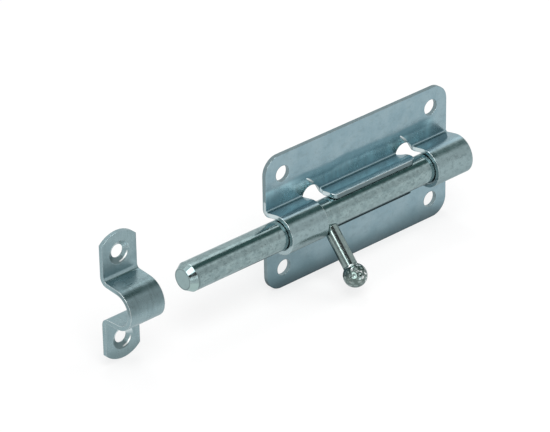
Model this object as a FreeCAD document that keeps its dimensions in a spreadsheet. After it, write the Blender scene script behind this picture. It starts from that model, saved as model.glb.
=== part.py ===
import FreeCAD, Part
import Sketcher
import math
import os
from FreeCAD import Vector

# Slide bolt for doors: a round rod runs in a pressed sheet plate, and a separate strike takes its tip.
# Row frame: +X along the rod to the right, -Y out of the plate, +Z up, the plate's back on y = 0.

SIZES = {
    # pressed plate
    "plate_length": 80.0,
    "plate_height": 48.5,
    "sheet": 1.5,
    "plate_corner": 6.0,
    "bend_radius": 0.6,
    "screw_pitch_x": 65.5,
    "screw_pitch_z": 34.5,
    "screw_hole": 5.6,
    # humped tunnel round the rod
    "axis_depth": 7.4,
    "tunnel_gap": 0.3,
    "tunnel_lean": 12.0,
    # window between the two tunnels, with the ledge that is left of the hump's upper wall
    "window_half": 24.5,
    "window_floor": 11.5,
    "floor_corner": 1.2,
    "ledge_left": 17.7,
    "ledge_right": 18.6,
    "ledge_front": 9.4,
    "ledge_corner": 2.0,
    "relief_x": 20.6,
    "relief_up": 4.6,
    "relief_radius": 3.8,
    # rod
    "rod_dia": 10.0,
    "rod_length": 118.0,
    "rod_reach": 80.3,
    "tip_taper": 2.3,
    "tip_drop": 1.35,
    "tail_chamfer": 0.8,
    # knob
    "stem_dia": 5.0,
    "knob_x": 20.6,
    "knob_turn": 47.9,
    "ball_dia": 8.0,
    "ball_out": 22.0,
    "saddle_fit": 0.05,
    # strike
    "strike_x": 100.3,
    "strike_width": 13.6,
    "strike_height": 45.0,
    "strike_end_radius": 9.4,
    "strike_gap": 0.5,
    "strike_lean": -4.0,
    "strike_bend": 1.4,
    "strike_pitch": 30.6,
    "strike_hole": 4.5,
    "sink_dia": 8.0,
    "sink_angle": 110.0,
}

doc = FreeCAD.newDocument("slide_bolt")


def size_sheet():
    """Put every independent size into one sheet, so that it can be changed there."""
    sheet = doc.addObject("Spreadsheet::Sheet", "sizes")
    for row, (name, value) in enumerate(SIZES.items(), start=1):
        sheet.set("A%d" % row, name)
        sheet.set("B%d" % row, str(value))
        sheet.setAlias("B%d" % row, name)
    doc.recompute()
    return sheet


def size(name):
    """Value of a size, for first positions that the sketch constraints then hold."""
    return float(SIZES[name])


def new_body(name):
    body = doc.addObject("PartDesign::Body", name)
    body.Label = name
    return body


def plane(body, role):
    """One of the body's own origin planes."""
    return next(item for item in body.Origin.OriginFeatures if item.Role == role)


def new_sketch(body, name, role):
    sketch = doc.addObject("Sketcher::SketchObject", name)
    body.addObject(sketch)
    sketch.AttachmentSupport = [(plane(body, role), "")]
    sketch.MapMode = "FlatFace"
    return sketch


def bind(sketch, index, name, expression):
    """Name a sketch dimension and tie it to the size sheet."""
    sketch.renameConstraint(index, name)
    sketch.setExpression("Constraints." + name, expression)


def hold(sketch, geo, end, axis, value, name, expression):
    """Hold one coordinate of a point, measured from the sketch origin on the side that value names."""
    kind = "DistanceX" if axis == 0 else "DistanceY"
    ends = (-1, 1, geo, end) if value > 0 else (geo, end, -1, 1)
    index = sketch.addConstraint(Sketcher.Constraint(kind, *ends, abs(value)))
    bind(sketch, index, name, expression)


def close_loop(sketch, first, last):
    """Join the ends of consecutive lines and arcs, and the last to the first."""
    for geo in range(first, last):
        sketch.addConstraint(Sketcher.Constraint("Coincident", geo, 2, geo + 1, 1))
    sketch.addConstraint(Sketcher.Constraint("Coincident", last, 2, first, 1))


def line(sketch, start, end):
    return sketch.addGeometry(Part.LineSegment(Vector(*start, 0), Vector(*end, 0)))


def arc(sketch, centre, radius, start_deg, end_deg):
    circle = Part.Circle(Vector(*centre, 0), Vector(0, 0, 1), radius)
    return sketch.addGeometry(Part.ArcOfCircle(circle, math.radians(start_deg), math.radians(end_deg)))


def centred_rectangle(sketch, half_x, half_y, expr_x, expr_y):
    """Rectangle about the sketch origin from two half sizes."""
    corners = [(-half_x, -half_y), (half_x, -half_y), (half_x, half_y), (-half_x, half_y)]
    for here, there in zip(corners, corners[1:] + corners[:1]):
        line(sketch, here, there)
    close_loop(sketch, 0, 3)
    for geo, kind in ((0, "Horizontal"), (1, "Vertical"), (2, "Horizontal"), (3, "Vertical")):
        sketch.addConstraint(Sketcher.Constraint(kind, geo))
    sketch.addConstraint(Sketcher.Constraint("Symmetric", 0, 1, 1, 2, -1, 1))
    hold(sketch, 1, 2, 0, half_x, "half_x", expr_x)
    hold(sketch, 1, 2, 1, half_y, "half_y", expr_y)


def extrude(body, kind, name, sketch, length=None, both=False, flip=False):
    """Pad or pocket of a sketch. Without a length a pocket goes through all."""
    feature = body.newObject("PartDesign::" + kind, name)
    feature.Profile = sketch
    if length is None:
        feature.Type = 1
    else:
        feature.setExpression("Length", length)
    feature.Midplane = both
    feature.Reversed = flip
    sketch.Visibility = False
    doc.recompute()
    return feature


def round_edges(body, name, radius, test):
    """Fillet the edges of the body's tip that pass the test."""
    base = body.Tip
    names = ["Edge%d" % (i + 1) for i, edge in enumerate(base.Shape.Edges) if test(edge)]
    fillet = body.newObject("PartDesign::Fillet", name)
    fillet.Base = (base, names)
    fillet.setExpression("Radius", radius)
    doc.recompute()
    return fillet


def along(edge, direction):
    """True for a straight edge that runs in the given direction."""
    if edge.Curve.TypeId != "Part::GeomLine":
        return False
    return abs(abs(edge.Curve.Direction.dot(direction)) - 1) < 1e-6


def hump_sketch(body, name, radius, lean, back, radius_expr, lean_expr, back_expr):
    """Section of a hump seen along X: a round nose about the rod axis and two flanks, closed behind
    the sheet. With a positive lean the hump narrows towards its base, with a negative one it splays."""
    sketch = new_sketch(body, name, "YZ_Plane")
    depth = size("axis_depth")
    slope = math.radians(lean)
    near = (-depth + radius * math.sin(slope), radius * math.cos(slope))
    foot = radius / math.cos(slope) - (back + depth) * math.tan(slope)
    upper = line(sketch, (back, foot), near)
    nose = arc(sketch, (-depth, 0), radius, 90 - lean, 270 + lean)
    lower = line(sketch, (near[0], -near[1]), (back, -foot))
    base = line(sketch, (back, -foot), (back, foot))
    sketch.addConstraint(Sketcher.Constraint("Tangent", upper, 2, nose, 1))
    sketch.addConstraint(Sketcher.Constraint("Tangent", nose, 2, lower, 1))
    sketch.addConstraint(Sketcher.Constraint("Coincident", lower, 2, base, 1))
    sketch.addConstraint(Sketcher.Constraint("Coincident", base, 2, upper, 1))
    sketch.addConstraint(Sketcher.Constraint("Symmetric", upper, 1, lower, 2, -1))
    sketch.addConstraint(Sketcher.Constraint("PointOnObject", nose, 3, -1))
    hold(sketch, nose, 3, 0, -depth, "axis_depth", "sizes.axis_depth")
    hold(sketch, base, 1, 0, back, "back", back_expr)
    index = sketch.addConstraint(Sketcher.Constraint("Radius", nose, radius))
    bind(sketch, index, "nose_radius", radius_expr)
    index = sketch.addConstraint(Sketcher.Constraint("Angle", upper, math.pi - slope))
    bind(sketch, index, "lean", "180 - " + lean_expr)
    return sketch


def press_hump(body, prefix, length_expr, gap, lean, bend):
    """Raise a hump of sheet across a flat slab: outer form, hollow, and the bends at its foot."""
    sheet = size("sheet")
    inner = size("rod_dia") / 2 + size(gap)
    inner_expr = "sizes.rod_dia / 2 + sizes." + gap
    outer_sketch = hump_sketch(
        body, prefix + "_outer", inner + sheet, size(lean), -sheet / 2,
        inner_expr + " + sizes.sheet", "sizes." + lean, "sizes.sheet / 2")
    extrude(body, "Pad", prefix + "_form", outer_sketch, length_expr, both=True)
    hollow_sketch = hump_sketch(
        body, prefix + "_inner", inner, size(lean), sheet,
        inner_expr, "sizes." + lean, "sizes.sheet")
    extrude(body, "Pocket", prefix + "_hollow", hollow_sketch, both=True)
    x_axis = Vector(1, 0, 0)

    def foot(edge, y):
        middle = edge.CenterOfMass
        return along(edge, x_axis) and abs(middle.y - y) < 1e-4 and abs(middle.z) < inner + 3 * sheet

    round_edges(body, prefix + "_bend_front", "sizes." + bend, lambda edge: foot(edge, -sheet))
    round_edges(body, prefix + "_bend_back", "sizes.%s + sizes.sheet" % bend, lambda edge: foot(edge, 0))


def plate_slab(body):
    """Flat blank of the plate with its rounded corners, back face on y = 0."""
    sketch = new_sketch(body, "plate_outline", "XZ_Plane")
    centred_rectangle(sketch, size("plate_length") / 2, size("plate_height") / 2,
                      "sizes.plate_length / 2", "sizes.plate_height / 2")
    extrude(body, "Pad", "plate_blank", sketch, "sizes.sheet")
    round_edges(body, "plate_corners", "sizes.plate_corner", lambda edge: along(edge, Vector(0, 1, 0)))


def plate_screw_holes(body):
    sketch = new_sketch(body, "plate_screw_holes", "XZ_Plane")
    half_x = size("screw_pitch_x") / 2
    half_z = size("screw_pitch_z") / 2
    for number, (side, level) in enumerate(((-1, 1), (1, 1), (-1, -1), (1, -1))):
        centre = Vector(side * half_x, level * half_z, 0)
        sketch.addGeometry(Part.Circle(centre, Vector(0, 0, 1), size("screw_hole") / 2))
        hold(sketch, number, 3, 0, centre.x, "at_x%d" % number, "sizes.screw_pitch_x / 2")
        hold(sketch, number, 3, 1, centre.y, "at_z%d" % number, "sizes.screw_pitch_z / 2")
        index = sketch.addConstraint(Sketcher.Constraint("Diameter", number, size("screw_hole")))
        bind(sketch, index, "bore%d" % number, "sizes.screw_hole")
    extrude(body, "Pocket", "plate_screw_bores", sketch, both=True)


def window_below(body):
    """Lower half of the window: the hump's lower wall and the strip of flange under it are gone."""
    sketch = new_sketch(body, "window_lower", "XZ_Plane")
    half = size("window_half")
    floor = size("window_floor")
    corner = size("floor_corner")
    line(sketch, (half, 0), (-half, 0))
    line(sketch, (-half, 0), (-half, -floor + corner))
    arc(sketch, (-half + corner, -floor + corner), corner, 180, 270)
    line(sketch, (-half + corner, -floor), (half - corner, -floor))
    arc(sketch, (half - corner, -floor + corner), corner, 270, 360)
    line(sketch, (half, -floor + corner), (half, 0))
    sketch.addConstraint(Sketcher.Constraint("Coincident", 0, 2, 1, 1))
    sketch.addConstraint(Sketcher.Constraint("Coincident", 5, 2, 0, 1))
    for geo in range(1, 5):
        sketch.addConstraint(Sketcher.Constraint("Tangent", geo, 2, geo + 1, 1))
    sketch.addConstraint(Sketcher.Constraint("Horizontal", 0))
    sketch.addConstraint(Sketcher.Constraint("Vertical", 1))
    sketch.addConstraint(Sketcher.Constraint("Horizontal", 3))
    sketch.addConstraint(Sketcher.Constraint("Vertical", 5))
    sketch.addConstraint(Sketcher.Constraint("PointOnObject", 0, 1, -1))
    sketch.addConstraint(Sketcher.Constraint("Equal", 2, 4))
    hold(sketch, 0, 1, 0, half, "right", "sizes.window_half")
    hold(sketch, 0, 2, 0, -half, "left", "sizes.window_half")
    hold(sketch, 3, 1, 1, -floor, "floor", "sizes.window_floor")
    index = sketch.addConstraint(Sketcher.Constraint("Radius", 2, corner))
    bind(sketch, index, "corner", "sizes.floor_corner")
    extrude(body, "Pocket", "window_lower_cut", sketch, both=True)


def window_above(body):
    """Upper half of the window, cut from above round the ledge. The ledge keeps rounded front
    corners, and a round relief eats into its foot at each end."""
    sketch = new_sketch(body, "window_upper", "XY_Plane")
    half = size("window_half")
    sheet = size("sheet")
    front = size("ledge_front")
    corner = size("ledge_corner")
    reach = size("axis_depth") + size("rod_dia")
    bite = size("relief_radius")
    ends = {-1: size("ledge_left"), 1: size("ledge_right")}
    foot = {}
    meet = {}
    for side, end in ends.items():
        foot[side] = side * (size("relief_x") - bite)
        depth = math.sqrt(bite ** 2 - (size("relief_x") - end) ** 2)
        meet[side] = (side * end, -sheet - depth)
    angle = math.degrees(math.acos((ends[1] - size("relief_x")) / bite))
    line(sketch, (-half, -sheet), (-half, -reach))
    line(sketch, (-half, -reach), (half, -reach))
    line(sketch, (half, -reach), (half, -sheet))
    line(sketch, (half, -sheet), (foot[1], -sheet))
    arc(sketch, (size("relief_x"), -sheet), bite, 180, 360 - angle)
    line(sketch, meet[1], (ends[1], -front + corner))
    arc(sketch, (ends[1] - corner, -front + corner), corner, 270, 360)
    line(sketch, (ends[1] - corner, -front), (-ends[-1] + corner, -front))
    arc(sketch, (-ends[-1] + corner, -front + corner), corner, 180, 270)
    line(sketch, (-ends[-1], -front + corner), meet[-1])
    angle = math.degrees(math.acos((ends[-1] - size("relief_x")) / bite))
    arc(sketch, (-size("relief_x"), -sheet), bite, 180 + angle, 360)
    line(sketch, (foot[-1], -sheet), (-half, -sheet))
    joins = [(0, 2, 1, 1), (1, 2, 2, 1), (2, 2, 3, 1), (3, 2, 4, 1), (4, 2, 5, 1),
             (9, 2, 10, 1), (10, 2, 11, 1), (11, 2, 0, 1)]
    for join in joins:
        sketch.addConstraint(Sketcher.Constraint("Coincident", *join))
    for join in ((5, 2, 6, 2), (6, 1, 7, 1), (7, 2, 8, 2), (8, 1, 9, 1)):
        sketch.addConstraint(Sketcher.Constraint("Tangent", *join))
    for geo in (0, 2, 5, 9):
        sketch.addConstraint(Sketcher.Constraint("Vertical", geo))
    for geo in (1, 3, 7, 11):
        sketch.addConstraint(Sketcher.Constraint("Horizontal", geo))
    hold(sketch, 0, 1, 0, -half, "left", "sizes.window_half")
    hold(sketch, 2, 1, 0, half, "right", "sizes.window_half")
    hold(sketch, 1, 1, 1, -reach, "front", "sizes.axis_depth + sizes.rod_dia")
    hold(sketch, 0, 1, 1, -sheet, "back_left", "sizes.sheet")
    hold(sketch, 2, 2, 1, -sheet, "back_right", "sizes.sheet")
    hold(sketch, 7, 1, 1, -front, "ledge_front", "sizes.ledge_front")
    hold(sketch, 5, 1, 0, ends[1], "ledge_right", "sizes.ledge_right")
    hold(sketch, 9, 1, 0, -ends[-1], "ledge_left", "sizes.ledge_left")
    for geo, side, tag in ((4, 1, "right"), (10, -1, "left")):
        hold(sketch, geo, 3, 0, side * size("relief_x"), "relief_x_" + tag, "sizes.relief_x")
        hold(sketch, geo, 3, 1, -sheet, "relief_y_" + tag, "sizes.sheet")
        index = sketch.addConstraint(Sketcher.Constraint("Radius", geo, bite))
        bind(sketch, index, "relief_r_" + tag, "sizes.relief_radius")
    for geo, tag in ((6, "right"), (8, "left")):
        index = sketch.addConstraint(Sketcher.Constraint("Radius", geo, corner))
        bind(sketch, index, "corner_" + tag, "sizes.ledge_corner")
    extrude(body, "Pocket", "window_upper_cut", sketch, flip=True)


def relief_holes(body):
    """Round reliefs in the flange at both ends of the ledge, through the bend behind them."""
    sketch = new_sketch(body, "reliefs", "XZ_Plane")
    for number, side in enumerate((-1, 1)):
        centre = Vector(side * size("relief_x"), size("relief_up"), 0)
        sketch.addGeometry(Part.Circle(centre, Vector(0, 0, 1), size("relief_radius")))
        hold(sketch, number, 3, 0, centre.x, "at_x%d" % number, "sizes.relief_x")
        hold(sketch, number, 3, 1, centre.y, "at_z%d" % number, "sizes.relief_up")
        index = sketch.addConstraint(Sketcher.Constraint("Radius", number, size("relief_radius")))
        bind(sketch, index, "radius%d" % number, "sizes.relief_radius")
    extrude(body, "Pocket", "relief_cut", sketch, "sizes.sheet + sizes.bend_radius", flip=True)


def plate():
    body = new_body("plate")
    plate_slab(body)
    press_hump(body, "tunnel", "sizes.plate_length", "tunnel_gap", "tunnel_lean", "bend_radius")
    plate_screw_holes(body)
    window_below(body)
    window_above(body)
    relief_holes(body)
    return body


def rod():
    """Round bar with a long blunt taper at the tip and a small chamfer at the tail."""
    body = new_body("rod")
    sketch = new_sketch(body, "rod_profile", "XY_Plane")
    radius = size("rod_dia") / 2
    total = size("rod_length")
    taper = size("tip_taper")
    drop = size("tip_drop")
    tail = size("tail_chamfer")
    points = [(0, 0), (0, radius - drop), (taper, radius), (total - tail, radius),
              (total, radius - tail), (total, 0)]
    for here, there in zip(points, points[1:] + points[:1]):
        line(sketch, here, there)
    close_loop(sketch, 0, 5)
    sketch.addConstraint(Sketcher.Constraint("Coincident", 0, 1, -1, 1))
    sketch.addConstraint(Sketcher.Constraint("Vertical", 0))
    sketch.addConstraint(Sketcher.Constraint("Horizontal", 2))
    sketch.addConstraint(Sketcher.Constraint("Vertical", 4))
    sketch.addConstraint(Sketcher.Constraint("Horizontal", 5))
    hold(sketch, 0, 2, 1, radius - drop, "face_radius", "sizes.rod_dia / 2 - sizes.tip_drop")
    hold(sketch, 1, 2, 0, taper, "taper", "sizes.tip_taper")
    hold(sketch, 1, 2, 1, radius, "radius", "sizes.rod_dia / 2")
    hold(sketch, 2, 2, 0, total - tail, "straight_end", "sizes.rod_length - sizes.tail_chamfer")
    hold(sketch, 4, 1, 0, total, "length", "sizes.rod_length")
    hold(sketch, 4, 1, 1, radius - tail, "tail_radius", "sizes.rod_dia / 2 - sizes.tail_chamfer")
    turned = body.newObject("PartDesign::Revolution", "rod_turned")
    turned.Profile = sketch
    turned.ReferenceAxis = (sketch, ["H_Axis"])
    turned.Angle = 360
    sketch.Visibility = False
    body.setExpression("Placement.Base.x", "-sizes.rod_reach")
    body.setExpression("Placement.Base.y", "-sizes.axis_depth")
    doc.recompute()
    return body


def knob():
    """Turned stem and ball in one piece. Its axis is the body's Z axis and leaves the rod at a right
    angle, and its foot is hollowed to sit on the rod."""
    body = new_body("knob")
    sketch = new_sketch(body, "knob_profile", "XZ_Plane")
    stem = size("stem_dia") / 2
    ball = size("ball_dia") / 2
    centre = size("ball_out")
    start = size("rod_dia") / 4
    neck = centre - math.sqrt(ball ** 2 - stem ** 2)
    neck_deg = math.degrees(math.atan2(neck - centre, stem))
    line(sketch, (0, centre + ball), (0, start))
    line(sketch, (0, start), (stem, start))
    line(sketch, (stem, start), (stem, neck))
    arc(sketch, (0, centre), ball, neck_deg, 90)
    close_loop(sketch, 0, 3)
    sketch.addConstraint(Sketcher.Constraint("PointOnObject", 0, 1, -2))
    sketch.addConstraint(Sketcher.Constraint("PointOnObject", 0, 2, -2))
    sketch.addConstraint(Sketcher.Constraint("PointOnObject", 3, 3, -2))
    sketch.addConstraint(Sketcher.Constraint("Horizontal", 1))
    sketch.addConstraint(Sketcher.Constraint("Vertical", 2))
    hold(sketch, 1, 2, 0, stem, "stem_radius", "sizes.stem_dia / 2")
    hold(sketch, 1, 2, 1, start, "foot", "sizes.rod_dia / 4")
    hold(sketch, 3, 3, 1, centre, "ball_out", "sizes.ball_out")
    index = sketch.addConstraint(Sketcher.Constraint("Radius", 3, ball))
    bind(sketch, index, "ball_radius", "sizes.ball_dia / 2")
    turned = body.newObject("PartDesign::Revolution", "knob_turned")
    turned.Profile = sketch
    turned.ReferenceAxis = (sketch, ["V_Axis"])
    turned.Angle = 360
    sketch.Visibility = False
    doc.recompute()
    saddle = new_sketch(body, "knob_saddle", "YZ_Plane")
    saddle.addGeometry(Part.Circle(Vector(0, 0, 0), Vector(0, 0, 1), size("rod_dia") / 2))
    saddle.addConstraint(Sketcher.Constraint("Coincident", 0, 3, -1, 1))
    index = saddle.addConstraint(Sketcher.Constraint("Radius", 0, size("rod_dia") / 2))
    bind(saddle, index, "saddle_radius", "sizes.rod_dia / 2 + sizes.saddle_fit")
    extrude(body, "Pocket", "knob_foot", saddle, both=True)
    body.Placement = FreeCAD.Placement(Vector(0, 0, 0), FreeCAD.Rotation(Vector(1, 0, 0), 90))
    body.setExpression("Placement.Rotation.Angle", "90 + sizes.knob_turn")
    body.setExpression("Placement.Base.x", "-sizes.knob_x")
    body.setExpression("Placement.Base.y", "-sizes.axis_depth")
    doc.recompute()
    return body


def strike_slab(body):
    """Flat strap of the strike with its arched ends."""
    sketch = new_sketch(body, "strike_outline", "XZ_Plane")
    half = size("strike_width") / 2
    top = size("strike_height") / 2
    curve = size("strike_end_radius")
    span = math.degrees(math.asin(half / curve))
    centre = top - curve
    shoulder = centre + math.sqrt(curve ** 2 - half ** 2)
    line(sketch, (half, -shoulder), (half, shoulder))
    arc(sketch, (0, centre), curve, 90 - span, 90 + span)
    line(sketch, (-half, shoulder), (-half, -shoulder))
    arc(sketch, (0, -centre), curve, 270 - span, 270 + span)
    close_loop(sketch, 0, 3)
    sketch.addConstraint(Sketcher.Constraint("Vertical", 0))
    sketch.addConstraint(Sketcher.Constraint("Symmetric", 0, 1, 2, 1, -1, 1))
    sketch.addConstraint(Sketcher.Constraint("Symmetric", 0, 2, 2, 2, -1, 1))
    sketch.addConstraint(Sketcher.Constraint("PointOnObject", 1, 3, -2))
    hold(sketch, 0, 2, 0, half, "half_width", "sizes.strike_width / 2")
    hold(sketch, 1, 3, 1, centre, "end_centre", "sizes.strike_height / 2 - sizes.strike_end_radius")
    for geo, tag in ((1, "upper"), (3, "lower")):
        index = sketch.addConstraint(Sketcher.Constraint("Radius", geo, curve))
        bind(sketch, index, "end_" + tag, "sizes.strike_end_radius")
    extrude(body, "Pad", "strike_blank", sketch, "sizes.sheet")


def strike_screw_holes(body):
    """Two countersunk screw holes, one in each tab, sunk from the front."""
    sketch = new_sketch(body, "strike_screw_holes", "XZ_Plane")
    sketch.setExpression("AttachmentOffset.Base.z", "sizes.sheet")
    half = size("strike_pitch") / 2
    for number, level in enumerate((1, -1)):
        centre = Vector(0, level * half, 0)
        sketch.addGeometry(Part.Circle(centre, Vector(0, 0, 1), size("strike_hole") / 2))
        sketch.addConstraint(Sketcher.Constraint("PointOnObject", number, 3, -2))
        hold(sketch, number, 3, 1, centre.y, "at_z%d" % number, "sizes.strike_pitch / 2")
        index = sketch.addConstraint(Sketcher.Constraint("Diameter", number, size("strike_hole")))
        bind(sketch, index, "bore%d" % number, "sizes.strike_hole")
    doc.recompute()
    holes = body.newObject("PartDesign::Hole", "strike_sunk_holes")
    holes.Profile = sketch
    holes.Threaded = False
    holes.ThreadType = 0
    holes.DepthType = 1
    holes.HoleCutType = "Countersink"
    holes.HoleCutCustomValues = True
    holes.setExpression("Diameter", "sizes.strike_hole")
    holes.setExpression("HoleCutDiameter", "sizes.sink_dia")
    holes.setExpression("HoleCutCountersinkAngle", "sizes.sink_angle")
    sketch.Visibility = False
    doc.recompute()


def strike():
    body = new_body("strike")
    strike_slab(body)
    press_hump(body, "arch", "sizes.strike_width", "strike_gap", "strike_lean", "strike_bend")
    strike_screw_holes(body)
    body.setExpression("Placement.Base.x", "-sizes.strike_x")
    doc.recompute()
    return body


def write_out(bodies):
    """Check that everything was rebuilt without an error, then write one file for each piece."""
    for item in doc.Objects:
        if "Invalid" in item.State or "Error" in item.State:
            raise RuntimeError(item.Name + " did not rebuild: " + ", ".join(item.State))
    os.makedirs("parts", exist_ok=True)
    for body in bodies:
        shape = body.Shape
        if shape.isNull() or not shape.isValid() or len(shape.Solids) != 1:
            raise RuntimeError(body.Label + " is not one sound solid")
        shape.exportStep("parts/%s.step" % body.Label)


size_sheet()
write_out([plate(), rod(), knob(), strike()])
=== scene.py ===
"""Looks of a zinc plated slide bolt: a pressed plate, its round rod with a ball knob, and a strike.

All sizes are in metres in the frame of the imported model: +X along the rod away from the strike,
-Y out of the plate towards the viewer, +Z up.
"""

import logging
import math
from dataclasses import dataclass, field, replace
from enum import Enum
from functools import cached_property

import bpy
import numpy as np
from mathutils import Matrix, Vector


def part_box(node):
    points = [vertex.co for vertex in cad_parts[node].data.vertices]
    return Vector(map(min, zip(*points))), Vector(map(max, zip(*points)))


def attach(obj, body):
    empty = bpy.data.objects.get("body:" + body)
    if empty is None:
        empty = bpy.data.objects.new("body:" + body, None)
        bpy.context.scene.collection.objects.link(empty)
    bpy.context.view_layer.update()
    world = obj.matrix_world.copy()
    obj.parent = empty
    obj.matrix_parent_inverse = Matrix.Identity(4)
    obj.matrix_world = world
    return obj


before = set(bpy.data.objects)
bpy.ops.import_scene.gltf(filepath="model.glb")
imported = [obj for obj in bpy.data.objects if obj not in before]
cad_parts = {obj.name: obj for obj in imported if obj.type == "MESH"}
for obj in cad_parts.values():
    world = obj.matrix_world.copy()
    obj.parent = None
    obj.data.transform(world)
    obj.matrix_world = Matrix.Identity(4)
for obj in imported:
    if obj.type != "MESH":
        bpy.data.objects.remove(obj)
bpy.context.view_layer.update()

log = logging.getLogger("slide_bolt")

MM = 0.001
Colour = tuple[float, float, float]
Point = tuple[float, float, float]
Span = tuple[float, float]


class Along(Enum):
    """What a mask can go by: the place on the object, or the way that its surface faces."""

    X = "place along the rod"
    Y = "place out of the plate, negative in front of it"
    Z = "place across the plate"
    SIDEWAYS = "facing along X"
    OUTWARDS = "facing along Y"
    UPWARDS = "facing along Z"


class Wire:
    """One output socket of a node tree, on which Python's operators add Math nodes."""

    def __init__(self, web: "Web", socket: bpy.types.NodeSocket) -> None:
        """Keep the tree's builder and the socket.

        Args:
            web: Builder of the tree that the socket is in.
            socket: The output socket that this value stands for.
        """
        self.web = web
        self.socket = socket

    def _math(self, operation: str, *values: "Wire | float") -> "Wire":
        """Add a Math node on the given values."""
        return self.web.node("ShaderNodeMath", {"operation": operation}, dict(enumerate(values)))

    def __add__(self, other: "Wire | float") -> "Wire":
        """Sum."""
        return self._math("ADD", self, other)

    def __radd__(self, other: float) -> "Wire":
        """Sum with a number on the left."""
        return self._math("ADD", other, self)

    def __sub__(self, other: "Wire | float") -> "Wire":
        """Difference."""
        return self._math("SUBTRACT", self, other)

    def __rsub__(self, other: float) -> "Wire":
        """Difference from a number on the left."""
        return self._math("SUBTRACT", other, self)

    def __mul__(self, other: "Wire | float") -> "Wire":
        """Product."""
        return self._math("MULTIPLY", self, other)

    def __rmul__(self, other: float) -> "Wire":
        """Product with a number on the left."""
        return self._math("MULTIPLY", other, self)

    def __neg__(self) -> "Wire":
        """Opposite."""
        return self._math("MULTIPLY", self, -1.0)

    def __abs__(self) -> "Wire":
        """Size without its sign."""
        return self._math("ABSOLUTE", self)

    def __pow__(self, power: float) -> "Wire":
        """Power of the value's size."""
        return self._math("POWER", abs(self), power)

    def angle_with(self, other: "Wire") -> "Wire":
        """Angle in radians of the vector (other, self) in its plane."""
        return self._math("ARCTAN2", self, other)

    def least(self, other: "Wire | float") -> "Wire":
        """Smaller of two values."""
        return self._math("MINIMUM", self, other)

    def most(self, other: "Wire | float") -> "Wire":
        """Larger of two values."""
        return self._math("MAXIMUM", self, other)

    def lifted(self, rest: float) -> "Wire":
        """Mask squeezed to go from rest to 1."""
        return self * (1 - rest) + rest

    def rise(self, low: float, high: float) -> "Wire":
        """Smooth step from 0 at low to 1 at high, also downwards when high is the smaller one.

        Args:
            low: Value at which the step is 0.
            high: Value at which the step is 1.

        Returns:
            The step, between 0 and 1.
        """
        settings = {"interpolation_type": "SMOOTHSTEP", "clamp": True}
        if low < high:
            return self.web.node("ShaderNodeMapRange", settings,
                                 {"Value": self, "From Min": low, "From Max": high})
        return 1 - self.rise(high, low)

    def band(self, low: float, high: float, soft: float) -> "Wire":
        """1 between low and high, falling to 0 over soft outside them."""
        return self.rise(low - soft, low) * self.rise(high + soft, high)


class Web:
    """Builds one node tree."""

    def __init__(self, tree: bpy.types.NodeTree) -> None:
        """Clear the tree and keep it.

        Args:
            tree: Node tree of a material or of the world.
        """
        self.tree = tree
        self.noises: dict["Pattern", Wire] = {}
        tree.nodes.clear()

    def node(self, kind: str, settings: dict | None = None, values: dict | None = None,
             output: int | str = 0) -> Wire:
        """Add a node.

        Args:
            kind: Node type, such as ShaderNodeMath.
            settings: Attributes of the node, set before its sockets.
            values: Values or wires of the input sockets, by name or number.
            output: Output socket to return.

        Returns:
            The chosen output.
        """
        made = self.tree.nodes.new(kind)
        for name, value in (settings or {}).items():
            setattr(made, name, value)
        for name, value in (values or {}).items():
            socket = made.inputs[name]
            if isinstance(value, Wire):
                self.tree.links.new(value.socket, socket)
            elif socket.type == "RGBA":
                socket.default_value = (*value, 1.0)
            else:
                socket.default_value = value
        return Wire(self, made.outputs[output] if made.outputs else None)

    def blend(self, factor: Wire | float, first: Wire | Colour, second: Wire | Colour) -> Wire:
        """Mix two colours.

        Args:
            factor: Share of the second colour.
            first: Colour at 0.
            second: Colour at 1.

        Returns:
            The mixed colour.
        """
        made = self.node("ShaderNodeMix", {"data_type": "RGBA"}).socket.node
        inputs = {socket.identifier: socket for socket in made.inputs}
        for name, value in (("Factor_Float", factor), ("A_Color", first), ("B_Color", second)):
            if isinstance(value, Wire):
                self.tree.links.new(value.socket, inputs[name])
            else:
                inputs[name].default_value = (*value, 1.0) if name.endswith("Color") else value
        outputs = {socket.identifier: socket for socket in made.outputs}
        return Wire(self, outputs["Result_Color"])

    def axes(self, vector: Wire) -> tuple[Wire, Wire, Wire]:
        """Parts of a vector along X, Y and Z."""
        made = self.node("ShaderNodeSeparateXYZ", values={0: vector}).socket.node
        return tuple(Wire(self, socket) for socket in made.outputs)

    @cached_property
    def along(self) -> dict[Along, Wire]:
        """Place on the object and facing of its surface, along the object's own axes.

        Returns:
            The three parts of the place in metres, and those of the surface normal.
        """
        place = self.axes(self.node("ShaderNodeTexCoord", output="Object"))
        normal = self.axes(self.node("ShaderNodeTexCoord", output="Normal"))
        return dict(zip(Along, place + normal))

    def reading(self, along: Along, wander: float) -> Wire:
        """Place or facing, moved by the slow noise times wander."""
        value = self.along[along]
        return value + SLOW.noise(self) * wander if wander else value

    def ray(self, kind: str) -> Wire:
        """1 for rays of one kind, such as Is Camera Ray."""
        return self.node("ShaderNodeLightPath", output=kind)


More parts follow.
